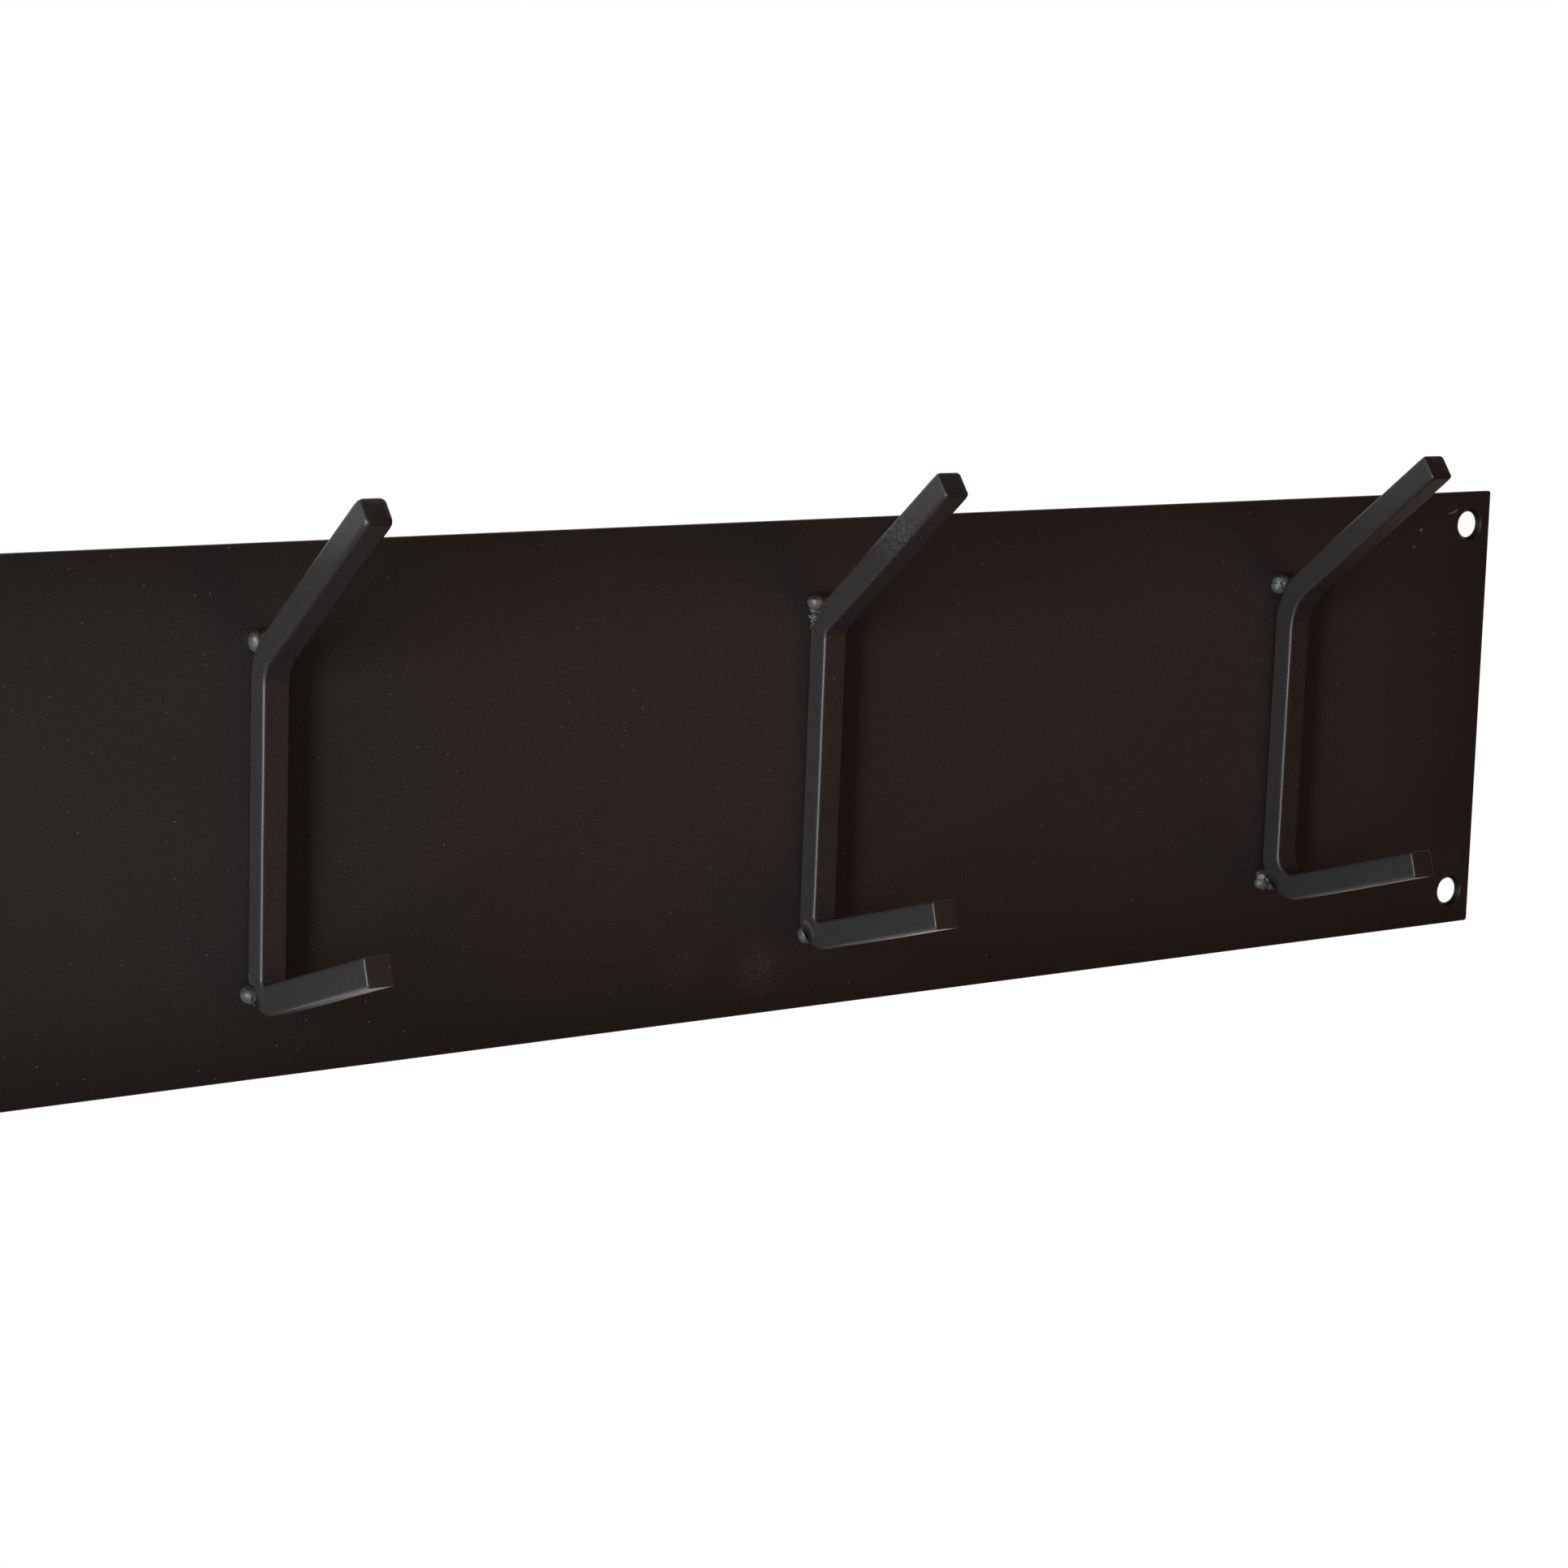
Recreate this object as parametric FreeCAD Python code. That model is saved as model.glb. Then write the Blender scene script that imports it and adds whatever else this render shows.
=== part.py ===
import FreeCAD, Part
import math
import os

# Wall coat rack: a flat steel plate with a row of hooks bent from square bar and welded on.
# Millimetres and degrees. X runs along the plate, Y goes into the wall and Z is up.
# The origin is the middle of the plate's wall face.

# Back plate
plate_length = 1000.0
plate_height = 160.0
plate_thickness = 2.0
plate_corner_radius = 1.0
plate_edge_bevel = 0.3

# Countersunk screw holes, two at each end of the plate
screw_hole_diameter = 9.5
countersink_diameter = 12.0
screw_hole_from_end = 10.0
screw_hole_from_edge = 12.0

# Row of hooks
hook_count = 5
hook_from_end = 100.0

# Square bar of the hooks
bar_width = 9.0
bar_arris_bevel = 0.8
bar_end_bevel = 0.4

# Hook, measured along the front of the bar between its inside corners
lower_corner_height = 29.0
leg_length = 95.0
lower_prong_length = 66.0
upper_prong_length = 79.0
lower_prong_rise = 17.5
upper_prong_lean = 51.5
lower_bend_radius = 2.5
upper_bend_radius = 8.0

# Weld beads: radius, reach past the side of the bar, width of the wedge at their middle
# and the taper towards each end
bead_radius = 3.6
bead_reach = 3.0
bead_wedge_width = 4.6
bead_taper_length = 1.8
bead_end_radius = 2.0

# The hooks were bent and welded by hand, so each one strays a little from the sizes above.
# From left to right: place along the plate, tilt, height of the lower corner and length of the leg;
# length of the lower and the upper prong, their angles and the radii of the two bends
hand_work = [
    {"along": 0.2, "tilt": 0.5, "height": 0.6, "leg": 0.5,
     "lower": 0.8, "upper": -0.5, "rise": -0.4, "lean": 0.3, "bends": (0.5, 1.5)},
    {"along": -0.3, "tilt": 0.3, "height": -0.6, "leg": 1.0,
     "lower": -0.7, "upper": 1.2, "rise": 0.7, "lean": -0.5, "bends": (-0.5, 3)},
    {"along": 0.0, "tilt": 0.4, "height": 1.2, "leg": -1.2,
     "lower": -0.7, "upper": -1.4, "rise": 1.2, "lean": -0.2, "bends": (-0.7, 2)},
    {"along": -0.4, "tilt": 0.8, "height": 1.1, "leg": -0.5,
     "lower": -1.0, "upper": -1.0, "rise": -1.1, "lean": -0.6, "bends": (-0.7, -4.5)},
    {"along": 0.6, "tilt": 0.7, "height": -1.9, "leg": 1.7,
     "lower": 2.6, "upper": 3.2, "rise": -0.3, "lean": 0.8, "bends": (3.5, 10)},
]

# Places that follow from the sizes
plate_bottom = -plate_height / 2
plate_front = -plate_thickness
hook_front = plate_front - bar_width
first_hook_x = hook_from_end - plate_length / 2
hook_pitch = (plate_length - 2 * hook_from_end) / (hook_count - 1)
smooth_limit = 1.0


def side_vector(y, z):
    """A vector in the side view of the rack."""
    return FreeCAD.Vector(0, y, z)


def sharp_edges(shape):
    """Edges where two faces meet at a corner, leaving out those where one face runs into the next."""
    found = []
    for edge in shape.Edges:
        faces = shape.ancestorsOfType(edge, Part.Face)
        if len(faces) < 2:
            continue
        middle = edge.valueAt((edge.FirstParameter + edge.LastParameter) / 2)
        normals = [face.normalAt(*face.Surface.parameter(middle)) for face in faces[:2]]
        if math.degrees(normals[0].getAngle(normals[1])) > smooth_limit:
            found.append(edge)
    return found


def make_back_plate():
    """Flat sheet with rounded corners, bevelled edges and four countersunk screw holes."""
    corner = FreeCAD.Vector(-plate_length / 2, plate_front, plate_bottom)
    plate = Part.makeBox(plate_length, plate_thickness, plate_height, corner)
    inward = FreeCAD.Vector(0, 1, 0)
    ends = [edge for edge in plate.Edges if abs(edge.tangentAt(edge.FirstParameter).dot(inward)) > 0.5]
    plate = plate.makeFillet(plate_corner_radius, ends)
    plate = plate.makeChamfer(plate_edge_bevel, sharp_edges(plate))
    hole_x = plate_length / 2 - screw_hole_from_end
    hole_z = plate_height / 2 - screw_hole_from_edge
    hole_radius = screw_hole_diameter / 2
    rim_radius = countersink_diameter / 2
    for side in (-1, 1):
        for level in (-1, 1):
            start = FreeCAD.Vector(side * hole_x, plate_front, level * hole_z)
            hole = Part.makeCylinder(hole_radius, plate_thickness, start, inward)
            rim = Part.makeCone(rim_radius, hole_radius, rim_radius - hole_radius, start, inward)
            plate = plate.cut(hole).cut(rim)
    return plate


def make_bend(corner, leg_way, prong_way, inside_radius):
    """A bend at an inside corner: its centre and the points where its two curves start and end."""
    half_angle = leg_way.getAngle(prong_way) / 2
    middle_way = (leg_way + prong_way).normalize()
    run = inside_radius / math.tan(half_angle)
    centre = corner + middle_way * (inside_radius / math.sin(half_angle))
    outside_radius = inside_radius + bar_width
    inside = [corner + leg_way * run, centre - middle_way * inside_radius, corner + prong_way * run]
    outside = [centre + (point - centre).normalize() * outside_radius for point in inside]
    return {"centre": centre, "inside": inside, "outside": outside, "outside_radius": outside_radius}


def hook_shape(stray):
    """The two bends of one hook in side view, and the ways that its prongs point."""
    rise = math.radians(lower_prong_rise + stray["rise"])
    lean = math.radians(upper_prong_lean + stray["lean"])
    up = side_vector(0, 1)
    lower_way = side_vector(-math.cos(rise), math.sin(rise))
    upper_way = side_vector(-math.sin(lean), math.cos(lean))
    lower_corner = side_vector(hook_front, plate_bottom + lower_corner_height + stray["height"])
    upper_corner = lower_corner + up * (leg_length + stray["leg"])
    return {
        "lower_bend": make_bend(lower_corner, up, lower_way, lower_bend_radius + stray["bends"][0]),
        "upper_bend": make_bend(upper_corner, -up, upper_way, upper_bend_radius + stray["bends"][1]),
        "lower_tip": lower_corner + lower_way * (lower_prong_length + stray["lower"]),
        "upper_tip": upper_corner + upper_way * (upper_prong_length + stray["upper"]),
        "lower_thickness": side_vector(-math.sin(rise), -math.cos(rise)) * bar_width,
        "upper_thickness": side_vector(math.cos(lean), math.sin(lean)) * bar_width,
    }


def end_edges(bar, shape):
    """Edges round the two sawn ends of a hook."""
    found = []
    for prong in ("lower", "upper"):
        middle = shape[prong + "_tip"] + shape[prong + "_thickness"] / 2
        end = min(bar.Faces, key=lambda face: face.CenterOfMass.distanceToPoint(middle))
        found.extend(end.Edges)
    return found


def make_hook(shape):
    """One length of square bar with two bends, its arrises and ends bevelled, on the plate's middle."""
    lower, upper = shape["lower_bend"], shape["upper_bend"]
    lower_tip, upper_tip = shape["lower_tip"], shape["upper_tip"]
    lower_tip_below = lower_tip + shape["lower_thickness"]
    upper_tip_behind = upper_tip + shape["upper_thickness"]
    outline = Part.Wire([
        Part.makeLine(lower_tip, lower["inside"][2]),
        Part.Arc(*reversed(lower["inside"])).toShape(),
        Part.makeLine(lower["inside"][0], upper["inside"][0]),
        Part.Arc(*upper["inside"]).toShape(),
        Part.makeLine(upper["inside"][2], upper_tip),
        Part.makeLine(upper_tip, upper_tip_behind),
        Part.makeLine(upper_tip_behind, upper["outside"][2]),
        Part.Arc(*reversed(upper["outside"])).toShape(),
        Part.makeLine(upper["outside"][0], lower["outside"][0]),
        Part.Arc(*lower["outside"]).toShape(),
        Part.makeLine(lower["outside"][2], lower_tip_below),
        Part.makeLine(lower_tip_below, lower_tip),
    ])
    outline.translate(FreeCAD.Vector(-bar_width / 2, 0, 0))
    bar = Part.Face(outline).extrude(FreeCAD.Vector(bar_width, 0, 0))
    sawn = end_edges(bar, shape)
    arrises = [edge for edge in sharp_edges(bar) if not any(edge.isSame(other) for other in sawn)]
    bar = bar.makeChamfer(bar_arris_bevel, arrises)
    return bar.makeChamfer(bar_end_bevel, end_edges(bar, shape))


def bead_middle(bend, away):
    """Where the wedge between the plate and the outside of a bend is as wide as a bead needs."""
    radius = bend["outside_radius"]
    down_the_curve = radius - bead_wedge_width
    height = math.sqrt(radius ** 2 - down_the_curve ** 2)
    return side_vector(plate_front - bead_wedge_width / 2, bend["centre"].z + away * height)


def make_weld(middle, hook):
    """A bead with tapered ends across the bar, filling the wedge between it and the plate."""
    half_length = bar_width / 2 + bead_reach
    half_straight = half_length - bead_taper_length
    profile = Part.makePolygon([
        FreeCAD.Vector(-half_length, 0, 0),
        FreeCAD.Vector(-half_length, 0, bead_end_radius),
        FreeCAD.Vector(-half_straight, 0, bead_radius),
        FreeCAD.Vector(half_straight, 0, bead_radius),
        FreeCAD.Vector(half_length, 0, bead_end_radius),
        FreeCAD.Vector(half_length, 0, 0),
        FreeCAD.Vector(-half_length, 0, 0),
    ])
    bead = Part.Face(profile).revolve(FreeCAD.Vector(0, 0, 0), FreeCAD.Vector(1, 0, 0), 360)
    bead.translate(middle)
    reach = 2 * bead_radius
    behind = FreeCAD.Vector(-half_length, plate_front, middle.z - bead_radius)
    inside_plate = Part.makeBox(2 * half_length, reach, reach, behind)
    return bead.cut(inside_plate).cut(hook)


def put_up(shape, x, tilt):
    """Turns a piece a little in the plane of the plate and moves it to its place along the plate."""
    shape.rotate(FreeCAD.Vector(0, 0, 0), FreeCAD.Vector(0, 1, 0), tilt)
    shape.translate(FreeCAD.Vector(x, 0, 0))
    return shape


def save(shape, name):
    """Write one piece, after checking that it is a single sound solid."""
    if not shape.isValid() or len(shape.Solids) != 1:
        raise ValueError(name + " is not one sound solid")
    shape.Solids[0].exportStep("parts/" + name + ".step")


os.makedirs("parts", exist_ok=True)
save(make_back_plate(), "back_plate")
for index in range(hook_count):
    stray = hand_work[index % len(hand_work)]
    hook_x = first_hook_x + index * hook_pitch + stray["along"]
    side_view = hook_shape(stray)
    hook_name = "hook_" + str(index + 1)
    hook_bar = make_hook(side_view)
    upper_weld = make_weld(bead_middle(side_view["upper_bend"], 1), hook_bar)
    lower_weld = make_weld(bead_middle(side_view["lower_bend"], -1), hook_bar)
    save(put_up(hook_bar, hook_x, stray["tilt"]), hook_name)
    save(put_up(upper_weld, hook_x, stray["tilt"]), hook_name + "_upper_weld")
    save(put_up(lower_weld, hook_x, stray["tilt"]), hook_name + "_lower_weld")
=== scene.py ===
import math
import random

import bmesh
import bpy
from mathutils import Matrix, Vector, noise


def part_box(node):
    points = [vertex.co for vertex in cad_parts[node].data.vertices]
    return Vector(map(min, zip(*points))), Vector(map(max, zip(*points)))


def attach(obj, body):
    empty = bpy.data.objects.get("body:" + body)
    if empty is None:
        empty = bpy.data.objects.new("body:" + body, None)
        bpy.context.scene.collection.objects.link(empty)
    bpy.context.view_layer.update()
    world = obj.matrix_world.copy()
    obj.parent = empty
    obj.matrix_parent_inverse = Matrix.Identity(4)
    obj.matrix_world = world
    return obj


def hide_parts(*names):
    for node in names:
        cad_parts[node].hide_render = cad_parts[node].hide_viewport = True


# Wall coat rack, dressed for the render: bars with rounded arrises, lumpy weld beads, spatter
# and a satin black powder coat. Metres; X runs along the plate, Y into the wall and Z is up.

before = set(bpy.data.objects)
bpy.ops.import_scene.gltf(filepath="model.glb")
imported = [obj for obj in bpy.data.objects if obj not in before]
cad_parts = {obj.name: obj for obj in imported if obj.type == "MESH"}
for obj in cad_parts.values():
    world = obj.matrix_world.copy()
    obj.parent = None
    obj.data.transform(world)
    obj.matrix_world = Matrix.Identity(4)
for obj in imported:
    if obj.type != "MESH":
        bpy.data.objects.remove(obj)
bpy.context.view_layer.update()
mm = 0.001

# Hooks, as in the solid model: square bar, measured along its front between the inside corners
bar_width = 9.0 * mm
hook_count = 5
hook_from_end = 100.0 * mm
lower_corner_height = 29.0 * mm
leg_length = 95.0 * mm
lower_prong_length = 66.0 * mm
upper_prong_length = 79.0 * mm
lower_prong_rise = 17.5
upper_prong_lean = 51.5
lower_bend_radius = 2.5 * mm
upper_bend_radius = 8.0 * mm

# How far each hook strays from those sizes, from left to right, in millimetres and degrees
hand_work = [
    {"along": 0.2, "tilt": 0.5, "height": 0.6, "leg": 0.5,
     "lower": 0.8, "upper": -0.5, "rise": -0.4, "lean": 0.3, "bends": (0.5, 1.5)},
    {"along": -0.3, "tilt": 0.3, "height": -0.6, "leg": 1.0,
     "lower": -0.7, "upper": 1.2, "rise": 0.7, "lean": -0.5, "bends": (-0.5, 3)},
    {"along": 0.0, "tilt": 0.4, "height": 1.2, "leg": -1.2,
     "lower": -0.7, "upper": -1.4, "rise": 1.2, "lean": -0.2, "bends": (-0.7, 2)},
    {"along": -0.4, "tilt": 0.8, "height": 1.1, "leg": -0.5,
     "lower": -1.0, "upper": -1.0, "rise": -1.1, "lean": -0.6, "bends": (-0.7, -4.5)},
    {"along": 0.6, "tilt": 0.7, "height": -1.9, "leg": 1.7,
     "lower": 2.6, "upper": 3.2, "rise": -0.3, "lean": 0.8, "bends": (3.5, 10)},
]

# Section of the bars: rounded arrises, never sharper than the least radius nor fully round
arris_radius = 1.0 * mm
least_arris = 0.1 * mm
roundest_section = 0.95
flat_steps = 9
arris_steps = 6

# Along the bars: distance between rings, and how far a bend bulges inside and narrows outside
station_step = 0.6 * mm
bend_steps = 26
bulge_at_bend = 0.05

# Unevenness of the faces: height and length of the waves, their share through the bar, and where
# in the noise each next hook is taken
wave_height = 0.06 * mm
wave_length = 22 * mm
wave_through = 0.3
wave_offset = (7.3, 3.1, 5.7)

# Sawn ends: radius round the end face, and the rings on it as shares of the way to its border
tip_radius = 0.55 * mm
tip_steps = 4
end_face_rings = (0.0, 0.35, 0.7)
end_face_middle = 0.9

# Upper ends blunted more or less by hand: extra arris radius at the end, the run it fades over,
# and its shares in the radius and the doming of the end face
blunt_ends = (0.3 * mm, 0.3 * mm, 1.0 * mm, 0.45 * mm, 0.35 * mm)
blunt_run = 5 * mm
blunt_to_tip = 0.6
blunt_to_dome = 0.35

# Back plate, read from the frame
plate_low, plate_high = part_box("back_plate")
plate_front = plate_low.y
plate_bottom = plate_low.z

# Screw holes of the plate, from its end and edge to their middle, and the radius at their rim
hole_from_end = 10.0 * mm
hole_from_edge = 12.0 * mm
hole_rim = 6.15 * mm

# Pitted patch on the left face of one upper prong
pitted_hook = "hook_4_bar"
pitted_middle = Vector((-bar_width / 2, -48 * mm, 80.5 * mm))
pitted_reach = 19 * mm
pit_depth = 0.45 * mm
pit_size = 1.5 * mm

# Camera of the photograph: place, direction, and focal length for a 36 mm wide frame
camera_place = Vector((-0.50745, -0.98744, 0.19889))
camera_yaw = math.radians(35.192)
camera_pitch = math.radians(-9.604)
camera_roll = math.radians(1.544)
focal_length = 87.117
sensor_width = 36.0

# Weld beads, as lumps that melt into one another: middle and half sizes in millimetres from the
# middle of the bead, whose left end shows in the photograph
usual_bead = [
    (-4.4, 0.3, 0.0, 3.0, 3.2, 3.3), (-1.2, 0.0, 0.1, 3.4, 3.3, 3.5),
    (2.0, 0.0, -0.1, 3.4, 3.3, 3.4), (4.4, 0.3, 0.1, 3.0, 3.2, 3.3),
]
right_half = [
    (-1.2, 0.0, 0.1, 3.2, 3.2, 3.4), (2.0, 0.0, -0.1, 3.4, 3.3, 3.4),
    (4.4, 0.3, 0.1, 3.0, 3.2, 3.2),
]
bead_shapes = {
    "hook_3_upper": [
        (-3.2, 0.5, 0.0, 2.3, 2.9, 3.3), (-1.0, 0.4, 0.2, 2.8, 3.0, 3.2),
        (2.0, 0.0, -0.1, 3.4, 3.3, 3.4), (4.4, 0.3, 0.1, 3.0, 3.2, 3.2),
    ],
    "hook_3_lower": [
        (-4.7, -0.4, 2.9, 2.8, 3.3, 3.0), (-3.4, -1.3, 2.6, 2.4, 2.4, 2.2),
        (-1.2, 0.3, 1.5, 3.2, 2.8, 2.7), (2.0, 0.3, 1.4, 3.3, 2.8, 2.7),
        (4.3, 0.5, 1.4, 2.9, 2.7, 2.6),
    ],
    "hook_4_upper": [
        (-3.4, -0.2, 1.0, 3.1, 3.3, 2.7), (-1.6, -0.2, 0.9, 3.0, 3.2, 2.7),
        (-3.0, 1.0, -1.4, 1.9, 2.0, 2.0),
    ] + right_half,
    "hook_4_lower": [
        (-2.5, 0.9, 1.1, 2.0, 2.6, 2.9), (-0.8, 0.6, 0.8, 3.0, 2.7, 2.8),
        (2.0, 0.3, 0.8, 3.4, 2.9, 3.0), (4.4, 0.5, 0.8, 3.0, 2.8, 2.8),
    ],
    "hook_5_upper": [
        (-4.8, 0.4, -0.1, 3.0, 2.8, 2.7), (-4.3, 0.2, 0.8, 3.2, 2.9, 2.9),
        (-4.1, 0.1, 1.7, 3.1, 3.0, 2.7),
    ] + right_half,
    "hook_5_lower": [
        (-4.6, 0.6, -0.3, 3.0, 2.8, 2.7), (-4.2, 0.6, 1.9, 2.8, 2.5, 2.6),
        (-2.4, 0.1, 0.9, 3.2, 2.8, 3.0),
    ] + right_half,
}

# Pits of a bead: middle and radius in millimetres from the middle of the bead
bead_pits = {
    "hook_3_lower": [(-4.9, -3.2, 2.0, 0.55)],
    "hook_5_lower": [(-4.2, -2.0, 2.4, 0.7), (-3.2, -2.6, 0.3, 0.6)],
    "hook_5_upper": [(-5.8, -2.3, 1.2, 0.5)],
    "hook_4_upper": [(-3.4, -2.6, -1.3, 0.6)],
}
pit_depth_to_radius = 1.3

# Height of the grain of a bead, in millimetres
bead_grain = {
    "hook_3_upper": 0.04, "hook_4_upper": 0.13, "hook_4_lower": 0.05,
    "hook_5_upper": 0.14, "hook_5_lower": 0.17,
}
usual_grain = 0.1

# How beads are made: fineness of their skin, smoothing and its rounds, size of the grain and the
# fall, step and number of its octaves, and how deep they reach into the plate
bead_voxel = 0.17 * mm
melt_factor = 0.5
melt_rounds = 6
grain_size = 1.6 * mm
grain_octaves = (0.7, 2.0, 4)
bead_in_plate = 0.1 * mm

# Bumps under the coat on the front of the plate: (x, z, radius) in millimetres
plate_bumps = [
    (189.1, 54.0, 0.45), (-4.5, 56.0, 0.35), (395.4, 43.9, 0.35), (393.5, -60.9, 0.45),
    (194.3, -55.0, 0.3), (394.2, 22.3, 0.35), (465.7, 67.0, 0.5), (462.6, 61.0, 0.45),
    (464.7, 70.3, 0.4),
]
bump_flatness = 0.3

# Crumbs of weld metal beside the upper bend of the fourth hook: (x, y, z, radius) in millimetres
hook_crumbs = [
    (195.9, -6.0, 50.8, 0.35), (195.9, -7.2, 50.9, 0.41), (195.8, -4.4, 49.8, 0.46),
    (195.8, -3.6, 49.4, 0.49), (195.8, -2.8, 48.7, 0.65), (195.8, -3.7, 48.4, 0.54),
    (195.8, -4.5, 48.9, 0.57), (195.8, -5.2, 49.3, 0.46), (195.8, -5.9, 48.9, 0.46),
    (195.8, -4.3, 48.0, 0.49), (195.8, -3.2, 47.5, 0.46), (195.8, -4.0, 47.1, 0.41),
    (195.8, -4.6, 46.8, 0.35), (195.8, -3.6, 46.4, 0.38), (195.8, -3.0, 45.9, 0.32),
    (195.8, -2.7, 45.1, 0.32), (195.8, -4.0, 44.4, 0.27), (195.6, -2.3, 49.1, 0.46),
    (195.8, -5.3, 48.1, 0.35),
]

# Proud flecks on the third hook: a chip beside its lower bead and a whisker above it
hook_chips = [
    (-4.95, -7.9, -53.4, 0.4), (-4.9, -3.7, -47.6, 0.24), (-4.9, -4.2, -48.2, 0.26),
    (-4.9, -4.7, -48.7, 0.26), (-4.9, -5.3, -49.3, 0.24), (-4.9, -5.8, -49.8, 0.22),
]

# Weld spatter strewn round each bead: drops per bead, how far out and how big, in millimetres
spatter_count = 9
spatter_spread = 9.0
spatter_radius = (0.12, 0.32)
spatter_from_bead = 1.15
spatter_flatness = 0.5
spatter_from_edge = 1 * mm

# Roughness of lumps and crumbs, in shares of their size, and how finely they are divided
lumpiness = 0.1
lump_detail = 3
lump_wave = 1.3
crumb_lumpiness = 0.5
crumb_detail = 2

# Where in the noise each lump, crumb and bead takes its shape, and the seed of all random draws
lump_offset = (3.7, 1.9, 2.3)
grain_offset = (1.7, 2.9, 0.3)
seed_per_lump = 0.7
seed_per_crumb = 1.3
seed_per_hook = 10
seed_of_level = {"upper": 5, "lower": 0}
random_seed = 5


# Powder coat: detail and repeats per metre of its clouds, grit and orange peel, the stretches of
# their noise that count, how far grit darkens the coat and changes its roughness, and the bumps
usual_detail = 3.0
cloud_detail = 4
cloud_scale = 9
cloud_range = (0.3, 0.7)
grit_scale = 1500
grit_dark_range = (0.35, 0.65)
grit_rough_range = (0.3, 0.7)
grit_shade = 0.45
grit_roughness = (-0.05, 0.06)
grit_height = 0.01 * mm
peel_scale = 420
peel_height = 0.05 * mm
peel_strength = 0.35

# Pale dust: cells per metre, how sharply the cells with a speck are told from the rest, size of
# a speck in shares of a cell, the smallest and the faintest speck in shares of that, and colour
dust_scale = 300
dust_step = 0.002
dust_size = 0.085
smallest_dust = 0.5
faintest_dust = 0.25
dust_colour = (0.11, 0.098, 0.088)

# Size of the speckles in stains and in flecks of rust, the stretch of their noise that counts,
# and how much of a spot is at its full strength
coarse = 1.1 * mm
fine = 0.45 * mm
speckle_range = (0.5, 0.58)
spot_core = 0.35

# Roughness, gloss, share of cells with dust and colours of the three coats
plate_roughness = 0.45
hook_roughness = 0.43
weld_roughness = 0.5
plate_specular = 0.3
hook_specular = 0.38
weld_specular = 0.52
plate_specks = 0.6
hook_specks = 0.12
weld_specks = 0.05
coat_dark = (0.0178, 0.0144, 0.0130)
coat_light = (0.0209, 0.0165, 0.0148)
hook_dark = (0.0163, 0.0134, 0.0123)
hook_light = (0.0191, 0.0156, 0.0142)
weld_dark = (0.033, 0.032, 0.032)
weld_light = (0.049, 0.048, 0.048)

# How many times less glossy a coat gets where it has painted shade
dull_by = 3

# Plate: its coat turns from greyer to browner along this run, and painted shade darkens it towards
# its borders by (start, end, power, share) of the height and by a run and a share at its right end
browner_run = (-30 * mm, 90 * mm)
greyer = (0.93, 0.93, 0.93)
browner = (1.0, 0.88, 0.89)
border_shade_fades = ((40 * mm, 79 * mm, 1.5, 0.5), (-10 * mm, -79 * mm, 2.0, 0.72))
end_shade_fade = (55 * mm, 0.55)
border_shade_colour = (0.001, 0.0008, 0.0007)

# In the screw holes: painted shade, as a dark colour of the coat, and the share of a hole that has
# it in full
hole_shade_colour = (0.003, 0.003, 0.003)
hole_shade_core = 0.9

# Painted highlights near the upper right hole, a short curved one on a dent's edge and two pale
# specks on bumps, as spots with half sizes
dent_highlight_colour = (0.085, 0.066, 0.059)
dent_highlight_spots = [
    ((0.4802, plate_front, 0.0725), (1.5 * mm, bar_width, 0.5 * mm)),
    ((0.4818, plate_front, 0.0729), (1.2 * mm, bar_width, 0.5 * mm)),
    ((0.4828, plate_front, 0.0735), (0.7 * mm, bar_width, 0.7 * mm)),
    ((0.4657, plate_front, 0.0670), (0.9 * mm, bar_width, 0.9 * mm)),
    ((0.4626, plate_front, 0.0610), (0.8 * mm, bar_width, 0.6 * mm)),
]

# Smudges on the plate: (spot, half sizes, speckle, strength, colour)
smudge_colour = (0.075, 0.038, 0.031)
smudges = (
    ((0.1797, plate_front, -0.0648), (0.012, 0.01, 0.011), fine, 0.3, smudge_colour),
    ((0.1495, plate_front, -0.0611), (0.012, 0.01, 0.010), fine, 0.12, smudge_colour),
    ((0.491, plate_front, -0.0553), (0.005, 0.01, 0.004), fine, 0.2, smudge_colour),
)

# Bars, with painted shade: runs over which they darken to the right and to the top, the way in
# which a front faces, the shaded strip beside the plate, and their tints
right_shade_run = (120 * mm, 400 * mm)
top_shade_run = (55 * mm, 100 * mm)
front_shade_facing = (-0.75, -0.95)
shaded_strip = (1.4 * mm, 0.7 * mm)
right_shade_tint = (0.7, 0.68, 0.68)
top_shade_tint = (0.72, 0.6, 0.56)
front_shade_tint = (0.88, 0.80, 0.83)
painted_shade_colour = (0.002, 0.0012, 0.001)

# Painted shade on the left face of a bar at the outside of its lower bend: half sizes of the
# shaded patch, the way to it from the middle of the bend in side view, and how far that
# middle lies above the inside corner, in bend radii
bend_shade = (2.6 * mm, 5 * mm, 5 * mm)
bend_shade_way = (0.6, -0.8)
bend_middle_rise = 1.34
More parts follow.
